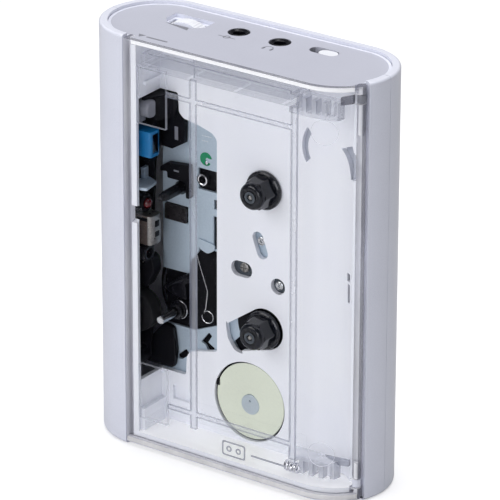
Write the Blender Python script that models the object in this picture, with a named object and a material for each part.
"""Portable cassette player with a clear door, modelled as an assembly of separate pieces.

All sizes in this file are millimetres; new_object() turns them into Blender's metres.
X runs left to right as the user faces the door, Y runs front to back, Z runs up.
The origin is the centre of the footprint, on the surface that the player stands on.
"""
import bmesh
import bpy
from math import atan2, cos, hypot, pi, radians, sin, sqrt
from mathutils import Vector

MM = 0.001

# Case: a stadium in plan, flat at front and back, with half-round ends.
CASE_R = 16.8                 # radius of the ends, half the depth
HALF_FLAT = 30.2              # half the length of the flat front
HEIGHT = 125.0
WALL = 2.4
TOP_ROUND = 0.8
BOTTOM_ROUND = 1.4
GAP = 0.3                     # clearance between neighbouring pieces
SEAM_Y = 0.0                  # plane where the front and rear shells meet
INNER_R = CASE_R - WALL
ARC_STEPS = 18                # segments in each half-round end

# Door: a clear lid over the whole front, from the left edge round the right-hand curve.
DOOR_LEFT = -30.3
DOOR_SKIN = 1.5
DOOR_BOTTOM = 1.2
DOOR_TOP = 124.3
DOOR_RIM = 1.05               # thickness of the lid's side walls
DOOR_RIM_BACK = -13.2
SKIN_R = CASE_R - DOOR_SKIN
BEAD_R = 1.3                  # rounded knuckle along the hinge edge
HINGE_ANGLE = radians(57.2)   # place of the hinge on the right-hand curve, from the front
HINGE_PATH_R = CASE_R - BEAD_R
HINGE_X = HALF_FLAT + HINGE_PATH_R * sin(HINGE_ANGLE)
HINGE_Y = -HINGE_PATH_R * cos(HINGE_ANGLE)
HINGE_PIN_R = 0.6
SHELL_END_ANGLE = radians(63.8)   # where the front shell starts again past the hinge
SHELL_LEFT = -30.6

# Cassette well: the white tub behind the door.
WELL_FRONT = -15.0
WELL_LEFT = -27.8
WELL_SKIN = 1.2
PANEL_FRONT = -3.0
PANEL_BACK = -1.5
WELL_BOTTOM = 2.7
FLOOR_TOP = 4.2
WELL_TOP = 122.1
SCOOP_X = 31.0                # the panel curves forward from here to the hinge side
SCOOP_END = (39.7, -6.6)

# Cassette, which sets where the mechanism goes.
MID_Z = 62.5
REEL_X = 8.1
REEL_HALF_PITCH = 21.25
UPPER_REEL_Z = MID_Z + REEL_HALF_PITCH
LOWER_REEL_Z = MID_Z - REEL_HALF_PITCH

# Top panel, sunk into the rim of the shells.
PANEL_TOP = 124.1
PANEL_UNDER = 122.4
TOP_PANEL_R = INNER_R - 0.25

# Mechanism layers, front to back.
CHASSIS = (-1.2, -0.4)
FRAME = (-0.1, 1.3)
GEARS = (1.6, 3.4)
BRIDGE = (3.8, 4.6)
BELT_LAYER = (9.0, 11.8)
BOARD = (12.3, 13.5)

CAPSTAN = (-21.7, 39.5)
CAPSTAN_R = 1.25
CAPSTAN_GEAR_R = 3.5
FLYWHEEL_R = 14.5
MOTOR = (2.9, 17.2)
MOTOR_R = 11.6
PULLEY_R = 2.9
REEL_GEAR_R = 9.0
ROLLER = (-31.4, 39.5)
ROLLER_R = 6.3
PINCH_PIVOT = (-32.6, 24.5)

# Batteries: two AA cells end to end.
CELL_R = 7.1
CELL_LENGTH = 50.0
CELL_X = 30.0
CELL_Y = 6.3

# Battery bay in the rear cover, with its own door.
BAY_LEFT = 21.6
BAY_RIGHT = 37.4
BAY_MID = (BAY_LEFT + BAY_RIGHT) / 2
BAY_LOW = 8.0
BAY_HIGH = 115.6
BAY_DOOR_INSIDE = 14.6        # inner face of the battery door

# Idler gear, which fills the gap between the capstan's gear and the lower reel's gear.
IDLER_GAP = REEL_X - CAPSTAN[0] - REEL_GEAR_R - CAPSTAN_GEAR_R
IDLER = (CAPSTAN[0] + CAPSTAN_GEAR_R + IDLER_GAP / 2, (CAPSTAN[1] + LOWER_REEL_Z) / 2)

# Heads.
HEAD_BASE = (-4.9, -3.9)
HEAD_FACE = -24.6             # face that meets the tape, with the heads drawn back

# Keys down the left-hand end.
KEY_NAMES = ["stop", "play", "rewind", "forward"]
KEY_HALF_WIDTH = 4.4
KEY_LENGTH = 14.4
KEY_PITCH = 15.0
KEY_LOW = 32.8
KEY_HIGH = KEY_LOW + 3 * KEY_PITCH + KEY_LENGTH
KEY_STEM_END = -38.4

# Controls and sockets in the top panel.
AUX_JACK = (-7.2, 5.9)
HEADPHONE_JACK = (6.5, 6.0)
JACK_COLLAR_R = 3.1
JACK_BORE_R = 1.8
SWITCH_PLACE = (20.5, 7.1)
SWITCH_SLOT = (9.1, 4.2)
WHEEL_CENTRE = (-23.6, 115.3)
WHEEL_R = 9.1
WHEEL_Y = (2.6, 6.4)

# Fixings.
SCREW_PLACES = {"lower": (-26.0, 9.0), "upper": (-0.4, 116.5)}
LUG_LAYERS = [(119.4, 121.7), (4.6, 6.9)]     # heights of the two hinge lugs

CUTTERS = []


# ---------------------------------------------------------------- materials

def material(name, colour, roughness, metallic=0.0, alpha=1.0):
    """Return the named Principled material, made on first use."""
    found = bpy.data.materials.get(name)
    if found:
        return found
    made = bpy.data.materials.new(name)
    made.use_nodes = True
    shader = made.node_tree.nodes["Principled BSDF"]
    shader.inputs["Base Color"].default_value = (*colour, 1.0)
    shader.inputs["Roughness"].default_value = roughness
    shader.inputs["Metallic"].default_value = metallic
    shader.inputs["Alpha"].default_value = alpha
    made.diffuse_color = (*colour, alpha)
    return made


def white_shell():
    return material("white_shell", (0.86, 0.86, 0.93), 0.35)


def white_well():
    return material("white_well", (0.84, 0.85, 0.92), 0.45)


def clear():
    return material("clear_acrylic", (0.86, 0.88, 0.94), 0.05, alpha=0.25)


def steel():
    return material("bare_steel", (0.72, 0.73, 0.75), 0.25, 1.0)


def plated():
    return material("zinc_plated_steel", (0.55, 0.64, 0.68), 0.35, 0.8)


def black():
    return material("black_plastic", (0.02, 0.02, 0.024), 0.4)


def rubber():
    return material("black_rubber", (0.03, 0.03, 0.035), 0.7)


# ---------------------------------------------------------------- mesh tools

def along(axis, u, v, w):
    """Place a point: w runs along the axis, (u, v) are the other two in X, Y, Z order."""
    if axis == "X":
        return Vector((w, u, v))
    if axis == "Y":
        return Vector((u, w, v))
    return Vector((u, v, w))


def bridge(mesh, lower, upper):
    """Join two rings of equal length with quads."""
    for i in range(len(lower)):
        j = (i + 1) % len(lower)
        mesh.faces.new((lower[i], lower[j], upper[j], upper[i]))


def stack(axis, rings):
    """Solid through rings, each one (distance along the axis, list of 2-D points)."""
    mesh = bmesh.new()
    loops = [[mesh.verts.new(along(axis, u, v, w)) for u, v in ring] for w, ring in rings]
    for lower, upper in zip(loops, loops[1:]):
        bridge(mesh, lower, upper)
    mesh.faces.new(loops[0])
    mesh.faces.new(loops[-1])
    return mesh


def prism(axis, points, low, high):
    return stack(axis, [(low, points), (high, points)])


def box(low, high):
    (x0, y0, z0), (x1, y1, z1) = low, high
    return prism("Z", [(x0, y0), (x1, y0), (x1, y1), (x0, y1)], z0, z1)


def circle(centre, radius, steps=20):
    return [(centre[0] + radius * cos(2 * pi * i / steps),
             centre[1] + radius * sin(2 * pi * i / steps)) for i in range(steps)]


def arc(centre, radius, first, last, steps):
    """Points from angle first to angle last, both ends included."""
    return [(centre[0] + radius * cos(first + (last - first) * i / steps),
             centre[1] + radius * sin(first + (last - first) * i / steps))
            for i in range(steps + 1)]


def rod(axis, centre, radius, low, high, steps=20):
    return prism(axis, circle(centre, radius, steps), low, high)


def turned(axis, centre, profile, steps=20):
    """Solid of revolution with flat ends; profile is (distance along the axis, radius)."""
    return stack(axis, [(w, circle(centre, r, steps)) for w, r in profile])


def ring_solid(axis, centre, profile, steps=20):
    """Hollow turned ring; profile is a closed loop of (distance along the axis, radius)."""
    mesh = bmesh.new()
    loops = []
    for w, r in profile:
        ring = [mesh.verts.new(along(axis, u, v, w)) for u, v in circle(centre, r, steps)]
        loops.append(ring)
    for i, lower in enumerate(loops):
        bridge(mesh, lower, loops[(i + 1) % len(loops)])
    return mesh


def sleeve(axis, centre, outer, inner, low, high, steps=20):
    profile = [(low, inner), (low, outer), (high, outer), (high, inner)]
    return ring_solid(axis, centre, profile, steps)


def stadium(radius, half=HALF_FLAT, steps=ARC_STEPS):
    """Outline of the case or of anything parallel to it."""
    right = arc((half, 0), radius, -pi / 2, pi / 2, steps)
    left = arc((-half, 0), radius, pi / 2, 3 * pi / 2, steps)
    return right + left


def slot(centre, length, width, tilt=0.0, steps=6):
    """Outline of a slot with round ends; length is end to end."""
    radius = width / 2
    half = length / 2 - radius
    points = arc((half, 0), radius, -pi / 2, pi / 2, steps)
    points += arc((-half, 0), radius, pi / 2, 3 * pi / 2, steps)
    return [(centre[0] + u * cos(tilt) - v * sin(tilt),
             centre[1] + u * sin(tilt) + v * cos(tilt)) for u, v in points]


def gear(centre, outer, teeth, depth=0.7):
    """Outline of a spur gear with plain trapezoid teeth."""
    points = []
    for i in range(teeth):
        for share, radius in ((0.0, outer - depth), (0.3, outer - depth), (0.45, outer), (0.85, outer)):
            angle = 2 * pi * (i + share) / teeth
            points.append((centre[0] + radius * cos(angle), centre[1] + radius * sin(angle)))
    return points


def curve_sector(radius, angle):
    """Point on the right-hand curve of the case; the angle is from the front towards the right."""
    return (HALF_FLAT + radius * sin(angle), -radius * cos(angle))


def front_curve(radius, first, last, steps=12):
    return [curve_sector(radius, first + (last - first) * i / steps) for i in range(steps + 1)]


# ---------------------------------------------------------------- objects

def new_object(name, mesh, finish, pivot=(0, 0, 0), smooth=True):
    """Make an object from a bmesh in millimetres, with its origin at the pivot."""
    bmesh.ops.recalc_face_normals(mesh, faces=mesh.faces)
    for vert in mesh.verts:
        vert.co = (vert.co - Vector(pivot)) * MM
    data = bpy.data.meshes.new(name)
    mesh.to_mesh(data)
    mesh.free()
    if smooth:
        data.shade_smooth()
        data.set_sharp_from_angle(angle=radians(32))
    made = bpy.data.objects.new(name, data)
    made.location = Vector(pivot) * MM
    bpy.context.scene.collection.objects.link(made)
    if finish:
        data.materials.append(finish)
    return made


def combine(target, mesh, operation):
    """Add a Boolean modifier whose operand is a hidden guide object."""
    guide = new_object(f"guide_{len(CUTTERS):03d}", mesh, None, smooth=False)
    guide.hide_render = True
    guide.display_type = "WIRE"
    CUTTERS.append(guide)
    change = target.modifiers.new(operation.lower(), "BOOLEAN")
    change.object = guide
    change.operation = operation
    change.solver = "EXACT"


def cut(target, *meshes):
    for mesh in meshes:
        combine(target, mesh, "DIFFERENCE")


def add(target, *meshes):
    for mesh in meshes:
        combine(target, mesh, "UNION")


def wire(name, points, radius, finish, cyclic=False):
    """Round wire along points in millimetres."""
    curve = bpy.data.curves.new(name, "CURVE")
    curve.dimensions = "3D"
    curve.bevel_depth = radius * MM
    curve.bevel_resolution = 1
    curve.use_fill_caps = True
    spline = curve.splines.new("POLY")
    spline.points.add(len(points) - 1)
    for target, point in zip(spline.points, points):
        target.co = (*(Vector(point) * MM), 1.0)
    spline.use_cyclic_u = cyclic
    made = bpy.data.objects.new(name, curve)
    bpy.context.scene.collection.objects.link(made)
    curve.materials.append(finish)
    return made


def clear_scene():
    for old in list(bpy.data.objects):
        bpy.data.objects.remove(old, do_unlink=True)


# ---------------------------------------------------------------- case

def rounded_case():
    """Outer form of the case, with rounded top and bottom edges."""
    rings = []
    for i in range(4):
        turn = pi / 2 * i / 3
        inset = 1 - cos(turn)
        rise = 1 - sin(turn)
        rings.append((BOTTOM_ROUND * rise, stadium(CASE_R - BOTTOM_ROUND * inset)))
        rings.append((HEIGHT - TOP_ROUND * rise, stadium(CASE_R - TOP_ROUND * inset)))
    rings.sort(key=lambda ring: ring[0])
    return stack("Z", rings)


def door_zone(inner, low, high):
    """Space in front of the given radius, from the left door edge to the hinge side."""
    reach = CASE_R + 6
    outline = [(SHELL_LEFT, -inner)]
    outline += front_curve(inner, 0.0, SHELL_END_ANGLE)
    outline += [curve_sector(reach, SHELL_END_ANGLE), (HALF_FLAT + reach, -reach), (SHELL_LEFT, -reach)]
    return prism("Z", outline, low, high)


def key_window():
    """Opening for the four keys in the left-hand end, half in each shell."""
    return box((-50, -KEY_HALF_WIDTH - GAP, KEY_LOW - GAP), (-40, KEY_HALF_WIDTH + GAP, KEY_HIGH + GAP))


def front_shell():
    shell = new_object("front_shell", rounded_case(), white_shell())
    cut(shell,
        prism("Z", stadium(INNER_R), WALL, HEIGHT + 5),
        prism("Z", stadium(10.8, HALF_FLAT), -5, WALL + 2),
        box((-60, SEAM_Y - GAP / 2, -5), (60, 30, HEIGHT + 5)),
        door_zone(12.9, 0.9, HEIGHT + 5),
        door_zone(-WELL_FRONT, -5, 1.5),
        key_window())


def rear_shell():
    shell = new_object("rear_cover", rounded_case(), white_shell())
    cut(shell,
        prism("Z", stadium(INNER_R), WALL, HEIGHT + 5),
        prism("Z", stadium(10.8, HALF_FLAT), -5, WALL + 2),
        box((-60, -30, -5), (60, SEAM_Y + GAP / 2, HEIGHT + 5)),
        key_window(),
        box((BAY_LEFT, 10, BAY_LOW), (BAY_RIGHT, 30, BAY_HIGH)),
        prism("Y", slot((BAY_MID, BAY_HIGH + 1.6), 8.0, 3.4), 15.6, 30))
    for x, z in SCREW_PLACES.values():
        cut(shell, rod("Y", (x, z), 2.6, 15.0, 30, 16), rod("Y", (x, z), 1.3, 10, 30, 12))


def top_panel():
    outline = stadium(TOP_PANEL_R)
    panel = new_object("top_panel", prism("Z", outline, PANEL_UNDER, PANEL_TOP), white_well())
    apron = [(SHELL_LEFT + 0.1, WELL_FRONT)]
    apron += front_curve(-WELL_FRONT, 0.0, HINGE_ANGLE - 0.12)
    apron += [curve_sector(10, HINGE_ANGLE), (SHELL_LEFT + 0.1, -10)]
    add(panel, prism("Z", apron, PANEL_UNDER, PANEL_TOP))
    cut(panel,
        rod("Z", (HINGE_X, HINGE_Y), BEAD_R + GAP, 110, 130),
        rod("Z", AUX_JACK, JACK_COLLAR_R + GAP, 110, 130),
        rod("Z", HEADPHONE_JACK, JACK_COLLAR_R + GAP, 110, 130),
        prism("Z", slot(SWITCH_PLACE, SWITCH_SLOT[0], SWITCH_SLOT[1]), 110, 130),
        box((-30.6, -20, 110), (DOOR_LEFT + DOOR_RIM + GAP, DOOR_RIM_BACK + GAP, 130)),
        box((-30.3, 0.6, PANEL_TOP - 1.1), (-17.0, 8.2, 130)),
        box((-29.6, WHEEL_Y[0] - GAP, 110), (-17.6, WHEEL_Y[1] + GAP, 130)))
    return panel


def bottom_panel():
    panel = new_object("bottom_panel", prism("Z", stadium(10.5), 0.0, 2.1), white_well())
    for x in (-24.0, 24.0):
        cut(panel, rod("Z", (x, 0), 1.6, -5, 1.0, 16))
    return panel


def case_screws():
    for name, (x, z) in SCREW_PLACES.items():
        profile = [(6.0, 0.9), (15.3, 0.9), (15.3, 2.2), (16.1, 2.2), (16.5, 1.6)]
        screw = new_object(f"case_screw_{name}", turned("Y", (x, z), profile, 12), steel())
        cut(screw, box((x - 1.3, 16.1, z - 0.25), (x + 1.3, 20, z + 0.25)))


# ---------------------------------------------------------------- cassette well

def well_plan():
    """Plan of the tub: left wall, flat panel, and the scoop that curves to the hinge side."""
    run = SCOOP_END[0] - SCOOP_X
    rise = PANEL_FRONT - SCOOP_END[1]
    sweep = 2 * atan2(rise, run)
    bend = run / sin(sweep)
    front = [(SCOOP_X + bend * sin(sweep * i / 8), PANEL_FRONT - bend + bend * cos(sweep * i / 8))
             for i in range(9)]
    thick = PANEL_BACK - PANEL_FRONT
    outer = bend + thick
    back = [(SCOOP_X + outer * sin(sweep * i / 8), PANEL_FRONT - bend + outer * cos(sweep * i / 8))
            for i in range(8, -1, -1)]
    left = [(WELL_LEFT - WELL_SKIN, PANEL_BACK), (WELL_LEFT - WELL_SKIN, WELL_FRONT),
            (WELL_LEFT, WELL_FRONT), (WELL_LEFT, PANEL_FRONT)]
    closing = [(42.9, -5.9), (42.9, -4.8)]
    return left + front + closing + back


def well_floor():
    """Floor of the tub, cut back round the hinge so that the door's bead can turn."""
    outline = [(WELL_LEFT - WELL_SKIN, WELL_FRONT)]
    outline += front_curve(-WELL_FRONT, 0.0, HINGE_ANGLE - 0.12)
    outline += [(41.0, -6.4), (40.0, PANEL_BACK - 2.2), (SCOOP_X, PANEL_BACK)]
    outline.append((WELL_LEFT - WELL_SKIN, PANEL_BACK))
    return prism("Z", outline, WELL_BOTTOM, FLOOR_TOP)


def mechanism_opening():
    """Outline of the hole in the panel that shows the mechanism, in X and Z."""
    return [(-40, 105.7), (-21.7, 105.7), (-21.4, 99.9), (-19.8, 98.4), (-14.8, 97.6), (-10.0, 96.2),
            (-8.4, 94.6), (-8.4, 29.8), (-15.2, 28.2), (-17.8, 27.4), (-19.0, 25.6), (-19.3, 19.6),
            (-40, 19.6)]


def lower_reel_hole():
    """The lower reel's hole runs on to the left as a wide window."""
    around = arc((REEL_X, LOWER_REEL_Z), 6.2, radians(-70), radians(125), 12)
    return around + [(-5.4, 39.8), (-3.4, 33.6), (-0.6, 31.7)]


def cassette_well():
    well = new_object("cassette_well", prism("Z", well_plan(), WELL_BOTTOM, WELL_TOP), white_well())
    add(well, well_floor())
    cut(well,
        prism("Y", mechanism_opening(), PANEL_FRONT - 10.4, 5),
        prism("X", slot((-15.0, 71.5), 5.2, 5.2), -32, -26),
        prism("Y", lower_reel_hole(), -6, 2),
        rod("Y", (REEL_X, UPPER_REEL_Z), 3.6, -6, 2),
        prism("Y", slot((6.4, 66.4), 8.2, 3.7, radians(-70)), -6, 2),
        prism("Y", slot((0.1, 57.6), 7.2, 4.7), -6, 2),
        rod("Y", (12.5, 55.4), 2.4, -6, 2, 20),
        rod("Y", MOTOR, MOTOR_R + 0.6, -6, 2, 40),
        box((-24.0, -3.6, 10.6), (-18.0, -2.2, 15.4)),
        box((36.6, -12, 64.0), (38.2, 2, 66.4)),
        box((36.9, -12, 57.6), (38.1, 2, 63.2)),
        rod("Z", (HINGE_X, HINGE_Y), BEAD_R + 0.7, -5, 130))


# ---------------------------------------------------------------- door

def lid_outline():
    """Plan of the lid: the left rim, the flat front, and the curve that ends at the hinge bead."""
    outer = [(DOOR_LEFT, -CASE_R)] + front_curve(CASE_R, 0.0, HINGE_ANGLE)
    inner = front_curve(SKIN_R, HINGE_ANGLE, 0.0)
    rim = DOOR_LEFT + DOOR_RIM
    return outer + inner + [(rim, -SKIN_R), (rim, DOOR_RIM_BACK), (DOOR_LEFT, DOOR_RIM_BACK)]


def bottom_lip():
    """Inward lip along the lower edge of the lid."""
    left = DOOR_LEFT + DOOR_RIM / 2
    outer = [(left, -SKIN_R - 0.5)] + front_curve(SKIN_R + 0.5, 0.0, radians(47), 8)
    back = -DOOR_RIM_BACK - 0.1
    inner = front_curve(back, radians(47), 0.0, 8) + [(left, -back)]
    return prism("Z", outer + inner, DOOR_BOTTOM + 0.05, DOOR_BOTTOM + DOOR_RIM)


def rib(x0, x1, z0, z1):
    """Bar on the inside of the lid; upright bars stand a little prouder than level ones."""
    back = -13.9 if z1 - z0 > x1 - x0 else -14.0
    return box((x0, -SKIN_R - 0.5, z0), (x1, back, z1))


def door_lid():
    lid = new_object("door_lid", prism("Z", lid_outline(), DOOR_BOTTOM, DOOR_TOP), clear(),
                     (HINGE_X, HINGE_Y, 0))
    add(lid, rod("Z", (HINGE_X, HINGE_Y), BEAD_R, DOOR_BOTTOM + 0.05, DOOR_TOP - 0.05, 20),
        bottom_lip(),
        rib(-9.1, -6.7, 10.5, 116.2), rib(24.7, 27.0, 10.5, 116.2),
        rib(-17.0, 25.9, 109.2, 110.7), rib(-17.0, 25.9, 14.3, 15.8))
    cut(lid, rod("Z", (HINGE_X, HINGE_Y), HINGE_PIN_R + 0.25, 110, DOOR_TOP - 0.8, 16),
        rod("Z", (HINGE_X, HINGE_Y), HINGE_PIN_R + 0.25, DOOR_BOTTOM + 0.6, 12, 16))
    for low, high in LUG_LAYERS:
        window = [(HINGE_X - 2.2, HINGE_Y - 1.7), (HINGE_X + 2.0, HINGE_Y - 1.7),
                  (HINGE_X + 2.0, HINGE_Y + 3), (HINGE_X - 2.2, HINGE_Y + 3)]
        cut(lid, prism("Z", window, low - GAP, high + GAP))


def hinge_lugs():
    """Fixed grey lugs on the well that hold the two hinge pins."""
    for name, (low, high) in zip(("upper_hinge_lug", "lower_hinge_lug"), LUG_LAYERS):
        arm = [(HINGE_X - 1.1, HINGE_Y), (HINGE_X + 0.9, HINGE_Y), (HINGE_X - 0.3, -6.95),
               (HINGE_X - 1.7, -7.1)]
        lug = new_object(name, rod("Z", (HINGE_X, HINGE_Y), BEAD_R - 0.1, low, high, 16), black())
        add(lug, prism("Z", arm, low + 0.1, high - 0.1))
        cut(lug, rod("Z", (HINGE_X, HINGE_Y), HINGE_PIN_R + 0.15, low - 5, high + 5, 16))


def hinge_pins():
    pin = rod("Z", (HINGE_X, HINGE_Y), HINGE_PIN_R, 116.4, 123.0, 12)
    new_object("upper_hinge_pin", pin, steel())
    pin = rod("Z", (HINGE_X, HINGE_Y), HINGE_PIN_R, 2.3, 9.8, 12)
    new_object("lower_hinge_pin", pin, steel())


def mirrored(z, upper):
    """Height of the same feature on the upper or the lower bracket."""
    return z if upper else 2 * MID_Z - z


def bracket_box(x0, x1, y0, y1, z0, z1, upper):
    heights = sorted((mirrored(z0, upper), mirrored(z1, upper)))
    return box((x0, y0, heights[0]), (x1, y1, heights[1]))


def cassette_bracket(name, upper):
    """Clear holder that takes one end of the cassette and swings out with the door."""
    shelf = bracket_box(-27.2, 24.0, -13.5, -3.9, 115.1, 116.5, upper)
    bracket = new_object(name, shelf, clear(), (HINGE_X, HINGE_Y, 0))
    add(bracket,
        bracket_box(-27.1, -17.4, -14.9, -13.7, 99.2, 116.3, upper),
        bracket_box(-26.7, -17.7, -14.6, -13.0, 115.4, 116.1, upper),
        bracket_box(-15.0, 23.6, -4.9, -4.1, 112.0, 118.4, upper),
        bracket_box(-26.9, -26.0, -13.2, -4.5, 113.2, 119.4, upper),
        bracket_box(-26.4, 23.3, -13.3, -12.4, 115.6, 119.6, upper))
    for x in (-12.0, 4.0, 20.0):
        add(bracket, bracket_box(x, x + 1.2, -12.9, -4.5, 113.1, 115.6, upper))
    hinge_block(bracket, upper)


def hinge_block(bracket, upper):
    """Ribbed block that ties a bracket to the hinge side of the door."""
    plan = [(23.0, -13.6), (30.3, -13.6), (34.3, -13.1), (37.8, -11.6), (38.4, -9.0), (37.4, -8.4)]
    plan.append((23.0, -8.4))
    low, high = sorted((mirrored(113.6, upper), mirrored(118.8, upper)))
    add(bracket, prism("Z", plan, low, high))
    for x in (25.6, 28.7, 31.8, 34.9):
        cut(bracket, bracket_box(x, x + 1.8, -20, -10.6, 114.8, 125, upper))
    if not upper:
        cut(bracket, box((21.5, -20, 4.9), (27.2, -10.8, 8.8)))


def door_spring():
    """Small coil spring beside the lower hinge block, which pushes the door open."""
    steps, turns = 8, 4
    points = []
    for i in range(steps * turns + 1):
        turn = 2 * pi * i / steps
        across = 22.2 + 4.4 * i / (steps * turns)
        points.append((across, -12.7 + 1.2 * cos(turn), 6.9 + 1.2 * sin(turn)))
    wire("door_spring", points, 0.28, steel())


def door_latch():
    latch = new_object("door_latch", box((-28.8, -15.0, 70.2), (-27.6, -12.9, 72.8)), clear(),
                       (HINGE_X, HINGE_Y, 0))
    add(latch, box((-28.8, -13.9, 70.2), (-27.0, -12.9, 72.8)))


# ---------------------------------------------------------------- chassis and drive

def chassis_plate():
    outline = [(-28.4, 111.0), (18.5, 111.0), (20.2, 109.0), (20.2, 6.0), (-19.0, 6.0), (-26.5, 14.0)]
    outline.append((-28.4, 19.0))
    plate = new_object("chassis_plate", prism("Y", outline, *CHASSIS), plated())
    cut(plate,
        rod("Y", (REEL_X, UPPER_REEL_Z), 3.4, -5, 5),
        rod("Y", (REEL_X, LOWER_REEL_Z), 3.4, -5, 5),
        rod("Y", MOTOR, MOTOR_R + 0.4, -5, 5, 40),
        box((-27.6, -5, 65.9), (-19.6, 5, 71.0)),
        box((-16.0, -5, 77.6), (-9.6, 5, 84.0)),
        prism("Y", [(-30.0, 50.4), (-19.2, 50.6), (-19.1, 54.3), (-16.0, 58.2), (-15.8, 60.0), (-12.2, 60.0),
                    (-8.2, 59.6), (-8.2, 36.9), (-9.7, 36.9), (-17.4, 33.6), (-30.0, 33.6)], -5, 5),
        box((-10.6, -5, 72.6), (-8.8, 5, 75.4)),
        box((-10.8, -5, 60.6), (-9.2, 5, 70.4)),
        prism("Y", [(-15.2, 30.6), (-12.5, 34.1), (-11.4, 33.2), (-12.8, 31.0), (-10.4, 29.6), (-12.3, 27.7),
                    (-13.7, 29.9)], -5, 5),
        rod("Y", PINCH_PIVOT, 2.0, -5, 5))


def mechanism_frame():
    outline = [(-28.0, 108.0), (18.0, 108.0), (18.0, 31.0), (-9.0, 31.0), (-12.0, 22.0), (-28.0, 22.0)]
    frame = new_object("mechanism_frame", prism("Y", outline, *FRAME), black())
    cut(frame,
        rod("Y", (REEL_X, UPPER_REEL_Z), 3.4, -5, 5),
        rod("Y", (REEL_X, LOWER_REEL_Z), 3.4, -5, 5),
        rod("Y", CAPSTAN, 3.3, -5, 5))
    add(frame, rod("Y", IDLER, 0.8, 0.6, GEARS[1] + 0.6, 16))
    for x, z in ((-26.0, 100.0), (16.0, 106.0), (-26.0, 60.0), (16.0, 60.0)):
        add(frame, rod("Y", (x, z), 1.5, 0.6, BOARD[0] - GAP, 12))


def reel(prefix, z):
    """One reel drive: the spindle with its gear, the steel pin it turns on, and its place."""
    centre = (REEL_X, z)
    bore = 1.0
    hub = rod("Y", centre, 2.6, -9.0, 3.0)
    spindle = new_object(f"{prefix}_spindle", hub, black(), (REEL_X, 0, z))
    body = turned("Y", centre, [(-8.8, 4.2), (-4.2, 4.9)], 6)
    collar = turned("Y", centre, [(-10.5, 2.9), (-10.1, 3.6), (-9.2, 3.85), (-8.5, 3.7)], 20)
    flange = turned("Y", centre, [(-4.5, 5.3), (-4.1, 5.7), (-3.4, 5.7)], 28)
    wheel = prism("Y", gear(centre, REEL_GEAR_R, 21), *GEARS)
    for extra in (body, collar, flange, wheel):
        add(spindle, extra)
    cut(spindle, rod("Y", centre, bore, -20, 20, 16))
    pin = turned("Y", centre, [(-10.7, 0.45), (-10.4, 0.7), (BRIDGE[1], 0.7)], 12)
    new_object(f"{prefix}_pin", pin, steel())


def reel_bridge():
    """Strip behind the reel gears that both reel pins are riveted to."""
    strip = new_object("reel_bridge", box((3.6, BRIDGE[0], 35.0), (12.6, BRIDGE[1], 90.0)), plated())
    for z in (UPPER_REEL_Z, LOWER_REEL_Z):
        cut(strip, rod("Y", (REEL_X, z), 1.0, 0, 10, 12))


def idler():
    """Gear between the capstan's gear and the lower reel's gear, turning on a post of the frame."""
    radius = IDLER_GAP / 2 - 0.35
    x, z = IDLER
    wheel = prism("Y", gear((x, z), radius, 20), *GEARS)
    turning = new_object("idler_gear", wheel, material("natural_nylon", (0.8, 0.79, 0.72), 0.5), (x, 0, z))
    cut(turning, rod("Y", (x, z), 1.1, -5, 10, 16))


def capstan():
    pivot = (CAPSTAN[0], 0, CAPSTAN[1])
    shaft = turned("Y", CAPSTAN, [(-12.3, 0.9), (-12.0, CAPSTAN_R), (12.2, CAPSTAN_R)], 16)
    new_object("capstan_shaft", shaft, steel(), pivot)
    rim = [(BELT_LAYER[0], 13.6), (9.4, FLYWHEEL_R), (11.4, FLYWHEEL_R), (BELT_LAYER[1], 13.6)]
    wheel = turned("Y", CAPSTAN, rim, 36)
    flywheel = new_object("flywheel", wheel, steel(), pivot)
    add(flywheel, rod("Y", CAPSTAN, 2.4, 3.0, 9.6, 20),
        prism("Y", gear(CAPSTAN, CAPSTAN_GEAR_R - 0.35, 8, 0.6), *GEARS))
    cut(flywheel, rod("Y", CAPSTAN, CAPSTAN_R + 0.3, 0, 20, 16),
        sleeve("Y", CAPSTAN, 11.6, 4.5, 10.6, 20, 20))
    bearing = ring_solid("Y", CAPSTAN, [(-5.2, CAPSTAN_R + 0.3), (-5.2, 1.9), (-4.6, 2.4), (-3.9, 2.0),
                                        (-3.2, 2.0), (-2.8, 2.9), (1.2, 2.9), (1.2, CAPSTAN_R + 0.3)], 20)
    new_object("capstan_bearing", bearing, black())


def motor():
    profile = [(-2.5, MOTOR_R - 0.5), (-2.0, MOTOR_R), (8.2, MOTOR_R), (8.6, MOTOR_R - 0.6)]
    body = turned("Y", MOTOR, profile, 40)
    case = new_object("motor", body, material("motor_label", (0.72, 0.76, 0.66), 0.4))
    add(case, turned("Y", MOTOR, [(-2.8, 2.3), (-2.6, 2.7), (-2.2, 2.7)], 20))
    cut(case, rod("Y", MOTOR, 1.1, 7, 12, 16))
    pulley = turned("Y", MOTOR, [(7.4, 0.8), (8.9, 0.8), (8.9, 3.5), (9.3, 3.5), (9.6, PULLEY_R),
                                 (11.2, PULLEY_R), (11.5, 3.5), (11.9, 3.5)], 24)
    brass = material("turned_brass", (0.78, 0.6, 0.3), 0.3, 1.0)
    new_object("motor_pulley", pulley, brass, (MOTOR[0], 0, MOTOR[1]))


def drive_belt():
    """Belt from the motor pulley round the flywheel's rim, at the flywheel's mid-plane."""
    big = FLYWHEEL_R + 0.9
    small = PULLEY_R + 0.9
    dx = MOTOR[0] - CAPSTAN[0]
    dz = MOTOR[1] - CAPSTAN[1]
    heading = atan2(dz, dx)
    lean = pi / 2 - (big - small) / hypot(dx, dz)
    points = arc(CAPSTAN, big, heading + lean, heading + 2 * pi - lean, 28)
    points += arc(MOTOR, small, heading - lean, heading + lean, 10)
    middle = (BELT_LAYER[0] + BELT_LAYER[1]) / 2
    wire("drive_belt", [(x, middle, z) for x, z in points], 0.5, rubber(), cyclic=True)


# ---------------------------------------------------------------- heads and pinch roller

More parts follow.
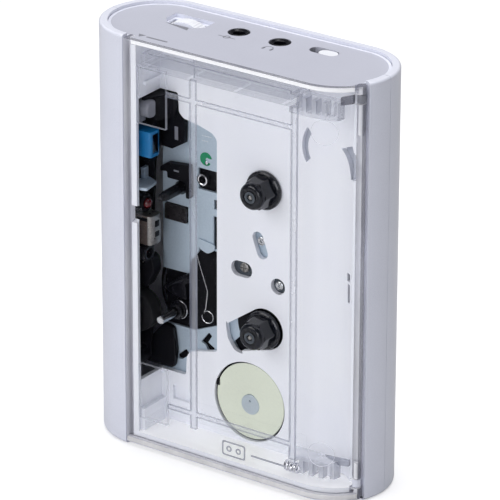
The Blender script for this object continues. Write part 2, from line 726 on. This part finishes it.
def head_base():
    """Sliding black plate that carries the heads towards the tape."""
    outline = [(-39.5, 95.4), (-34.0, 97.4), (-29.2, 97.4), (-27.6, 95.8), (-26.6, 89.6),
               (-28.6, 84.0), (-29.6, 58.0), (-31.0, 50.0), (-39.5, 50.0)]
    base = new_object("head_base", prism("Y", outline, *HEAD_BASE), black())
    for z in (55.0, 92.0):
        cut(base, prism("Y", slot((-35.0, z), 6.0, 2.6), -8, 0))


def playback_head():
    head = new_object("playback_head", box((-32.2, -11.7, 61.2), (HEAD_FACE, -6.3, 70.0)), steel())
    cut(head, box((-25.9, -20, 60), (-20, -11.0, 72)))
    add(head, box((-32.2, -7.0, 60.2), (-29.4, -5.2, 71.0)))


def erase_head():
    blue = material("blue_plastic", (0.02, 0.3, 0.72), 0.35)
    head = new_object("erase_head", box((-32.0, -12.1, 88.2), (HEAD_FACE + 0.1, -7.7, 95.8)), blue)
    add(head, box((-31.4, -8.4, 89.6), (-28.6, -5.2, 94.6)))
    cut(head, box((-25.7, -11.1, 89.2), (-20, -8.9, 94.8)))


def head_mount():
    """Black moulding above the heads, with the round post that the head base slides on."""
    mount = new_object("head_mount", box((-34.6, -4.9, 98.4), (-21.9, -2.0, 105.2)), black())
    add(mount,
        prism("Y", [(-34.6, 105.1), (-22.0, 105.1), (-21.8, 100.2), (-19.9, 98.0), (-19.4, 97.0), (-19.6, 91.0),
                    (-23.5, 88.6), (-34.6, 89.2)], -3.4, -1.5),
        prism("Z", [(-28.4, -10.4), (-27.4, -10.4), (-22.2, -3.0), (-28.4, -3.0)], 102.8, 105.2))


def tape_guide():
    """Plated tongue between the two heads that keeps the tape level."""
    plan = [(-31.5, -12.7), (-28.4, -12.9), (-27.5, -13.4), (-25.4, -12.8), (-26.4, -6.8), (-29.6, -5.4),
            (-31.5, -5.4)]
    guide = new_object("tape_guide", prism("Z", plan, 78.4, 79.2), steel())
    add(guide, box((-31.5, -7.4, 77.0), (-30.5, -5.2, 82.4)),
        box((-31.5, -11.0, 77.4), (-30.6, -6.6, 79.0)))


def pilot_lamp():
    profile = [(-31.0, 1.9), (-30.2, 1.9), (-30.2, 1.5), (-28.0, 1.5), (-27.1, 1.2), (-26.5, 0.6)]
    lens = turned("X", (-9.4, 73.1), profile, 16)
    new_object("pilot_lamp", lens, material("red_lens", (0.55, 0.02, 0.03), 0.12))


def guide_pin():
    centre = (-21.4, 76.9)
    profile = [(-12.2, 0.5), (-11.4, 0.9), (-8.0, 1.25), (-2.6, 1.6), (-2.4, 2.0), (-1.5, 2.0)]
    new_object("guide_pin", turned("Y", centre, profile, 16), black())


def control_lever():
    """Black lever in front of the chassis plate, under the guide pin's collar."""
    outline = [(-27.8, 82.3), (-25.4, 83.9), (-17.8, 84.7), (-17.6, 80.0), (-17.6, 74.6), (-18.9, 74.6),
               (-18.9, 79.4), (-25.3, 79.4), (-25.4, 81.3), (-27.8, 81.0)]
    new_object("control_lever", prism("Y", outline, -3.4, -1.5), black())


def pinch_arm():
    """Fork that carries the rubber roller and swings it against the capstan."""
    pivot = (PINCH_PIVOT[0], 0, PINCH_PIVOT[1])
    px, pz = PINCH_PIVOT
    rx, rz = ROLLER
    heading = atan2(rz - pz, rx - px)
    cheek = arc((rx, rz), 3.0, heading - pi / 2, heading + pi / 2, 8)
    cheek += arc((px, pz), 2.8, heading + pi / 2, heading + 3 * pi / 2, 8)
    arm = new_object("pinch_arm", prism("Y", cheek, -5.9, -5.2), black(), pivot)
    add(arm, prism("Y", cheek, -12.3, -11.5), rod("Y", (px, pz), 2.8, -12.3, -5.2, 20))
    cut(arm, rod("Y", (px, pz), 1.3, -30, 10, 16), rod("Y", (rx, rz), 1.15, -30, 10, 16))


def pinch_parts():
    pivot = (ROLLER[0], 0, ROLLER[1])
    roller = sleeve("Y", ROLLER, ROLLER_R, 1.3, -11.1, -6.3, 32)
    new_object("pinch_roller", roller, rubber(), pivot)
    axle = turned("Y", ROLLER, [(-12.6, 0.85), (-4.9, 0.85)], 12)
    new_object("pinch_axle", axle, steel(), (PINCH_PIVOT[0], 0, PINCH_PIVOT[1]))
    pin = turned("Y", PINCH_PIVOT, [(-12.7, 1.0), (-3.0, 1.0), (-3.0, 1.6), (-0.4, 1.6)], 12)
    new_object("pinch_pivot_pin", pin, steel())


def pinch_spring():
    """Wire spring on the chassis plate, with one coil at its lower end."""
    y = -1.9
    coil = [(-12.6 + 1.9 * cos(a), y - 0.15 * i, 39.2 + 1.9 * sin(a))
            for i, a in enumerate([radians(150 - 30 * k) for k in range(12)])]
    arm = [(-15.6, y, 57.0), (-14.6, y, 51.6), (-13.0, y, 46.8), (-13.4, y, 43.6), (-14.0, y, 41.0)]
    wire("pinch_spring", arm + coil[1:], 0.25, steel())


# ---------------------------------------------------------------- keys, controls, sockets

def keys():
    """Four keys down the left-hand end, flush with the case; each slides in and springs back."""
    grey = material("key_plastic", (0.8, 0.8, 0.87), 0.4)
    for i, name in enumerate(KEY_NAMES):
        low = KEY_LOW + KEY_PITCH * i
        high = low + KEY_LENGTH
        plan = [(-42.0, -KEY_HALF_WIDTH), (-42.0, KEY_HALF_WIDTH)]
        for y in (4.4, 3.0, 1.5, 0.0, -1.5, -3.0, -4.4):
            plan.append((-HALF_FLAT - sqrt((CASE_R - 0.1) ** 2 - y * y), y))
        key = new_object(f"{name}_key", prism("Z", plan, low, high), grey)
        middle = (low + high) / 2
        add(key, box((-42.5, -1.6, middle - 2.0), (KEY_STEM_END, 1.6, middle + 2.0)))


def key_rail():
    """Moulded guide behind the keys, with one window for each key's stem."""
    rail = new_object("key_rail", box((-39.2, -3.7, KEY_LOW - 2), (-37.8, 4.4, KEY_HIGH + 2)), black())
    for i in range(len(KEY_NAMES)):
        middle = KEY_LOW + KEY_PITCH * i + KEY_LENGTH / 2
        cut(rail, box((-45, -1.9, middle - 2.3), (-30, 1.9, middle + 2.3)))


def volume_control():
    x, z = WHEEL_CENTRE
    rim = []
    for i in range(40):
        radius = WHEEL_R if i % 2 else WHEEL_R - 0.25
        rim.append((x + radius * cos(2 * pi * i / 40), z + radius * sin(2 * pi * i / 40)))
    wheel = new_object("volume_wheel", prism("Y", rim, *WHEEL_Y), white_well(), (x, 0, z))
    cut(wheel, rod("Y", (x, z), 1.5, -5, 20, 16))
    pot = new_object("volume_pot", box((x - 5, 7.1, z - 5), (x + 5, 9.4, z + 5)), black())
    add(pot, rod("Y", (x, z), 1.2, 1.9, 8, 16), rod("Y", (x, z), 1.0, 9, 12, 12))


def jack(name, centre):
    x, y = centre
    collar = [(121, JACK_COLLAR_R), (123.2, JACK_COLLAR_R), (123.6, JACK_COLLAR_R - 0.4)]
    body = new_object(name, box((x - 3.6, y - 3.6, 109.5), (x + 3.6, y + 3.6, 122.0)), black())
    add(body, turned("Z", centre, collar, 24))
    cut(body, rod("Z", centre, JACK_BORE_R, 111.0, 130, 20))


def mode_switch():
    x, y = SWITCH_PLACE
    knob = slot((x + 1.2, y), 5.9, SWITCH_SLOT[1] - 2 * GAP)
    slider = new_object("mode_switch", prism("Z", knob, 121.2, 123.5), white_shell())
    add(slider, box((x + 0.4, y - 0.6, 118.7), (x + 2.0, y + 0.6, 121.6)))


def circuit_board():
    green = material("board_green", (0.02, 0.2, 0.09), 0.45)
    outline = [(-27.5, 58.0), (19.5, 58.0), (19.5, 118.5), (-27.5, 118.5)]
    board = new_object("circuit_board", prism("Y", outline, *BOARD), green)
    parts = [(-20, 100, 9, 9, 1.6), (2, 96, 12, 7, 2.0), (-24, 70, 5, 5, 2.6), (8, 66, 8, 5, 1.4),
             (-8, 84, 6, 9, 1.2)]
    for x, z, wide, tall, deep in parts:
        add(board, box((x, BOARD[0] - deep, z), (x + wide, BOARD[0] + 0.4, z + tall)))
    cut(board, rod("Y", WHEEL_CENTRE, 1.5, 5, 20, 12))
    for x, z in SCREW_PLACES.values():
        cut(board, rod("Y", (x, z), 1.6, 5, 20, 12))


# ---------------------------------------------------------------- batteries

def batteries():
    wrap = material("battery_wrap", (0.25, 0.28, 0.33), 0.35, 0.3)
    low = 11.0
    for name, start in (("lower_battery", low), ("upper_battery", low + CELL_LENGTH + 1.3)):
        profile = [(start, CELL_R - 0.6), (start + 0.4, CELL_R), (start + 48.2, CELL_R),
                   (start + 48.6, CELL_R - 0.8), (start + 48.6, 2.7), (start + CELL_LENGTH, 2.7)]
        new_object(name, turned("Z", (CELL_X, CELL_Y), profile, 24), wrap)


def battery_contacts():
    steps, turns = 8, 3
    points = []
    for i in range(steps * turns + 1):
        turn = 2 * pi * i / steps
        radius = 3.9 - 1.6 * i / (steps * turns)
        height = 7.0 + 3.4 * i / (steps * turns)
        points.append((CELL_X + radius * cos(turn), CELL_Y + radius * sin(turn), height))
    wire("battery_spring", points, 0.3, steel())
    plate = box((CELL_X - 4, CELL_Y - 4.5, 112.7), (CELL_X + 4, CELL_Y + 4.5, 113.2))
    tab = new_object("battery_contact", plate, steel())
    add(tab, box((CELL_X - 4, CELL_Y - 5.0, 112.8), (CELL_X + 4, CELL_Y - 4.4, 117.0)))


def battery_door():
    """Long cover over the two cells; it swings out about the outer edge of its lower end."""
    left = BAY_LEFT + GAP
    right = BAY_RIGHT - GAP
    low = BAY_LOW + GAP
    high = BAY_HIGH - GAP
    first = atan2(sqrt(CASE_R ** 2 - (right - HALF_FLAT) ** 2), right - HALF_FLAT)
    plan = [(left, BAY_DOOR_INSIDE), (right, BAY_DOOR_INSIDE)]
    plan += arc((HALF_FLAT, 0), CASE_R, first, pi / 2, 6) + [(left, CASE_R)]
    door = new_object("battery_door", prism("Z", plan, low, high), white_shell(), (BAY_MID, CASE_R, low))
    for i in range(3):
        z = BAY_HIGH - 8.0 + 1.6 * i
        cut(door, box((BAY_MID - 7, CASE_R - 0.4, z), (BAY_MID, CASE_R + 3, z + 0.8)))


# ---------------------------------------------------------------- assembly

def build():
    clear_scene()
    front_shell()
    rear_shell()
    top_panel()
    bottom_panel()
    case_screws()
    cassette_well()
    door_lid()
    hinge_lugs()
    hinge_pins()
    cassette_bracket("upper_bracket", True)
    cassette_bracket("lower_bracket", False)
    door_spring()
    door_latch()
    chassis_plate()
    mechanism_frame()
    reel("supply", UPPER_REEL_Z)
    reel("takeup", LOWER_REEL_Z)
    reel_bridge()
    idler()
    capstan()
    motor()
    drive_belt()
    head_base()
    playback_head()
    erase_head()
    head_mount()
    tape_guide()
    pilot_lamp()
    guide_pin()
    control_lever()
    pinch_arm()
    pinch_parts()
    pinch_spring()
    keys()
    key_rail()
    volume_control()
    jack("aux_jack", AUX_JACK)
    jack("headphone_jack", HEADPHONE_JACK)
    mode_switch()
    circuit_board()
    batteries()
    battery_contacts()
    battery_door()


build()
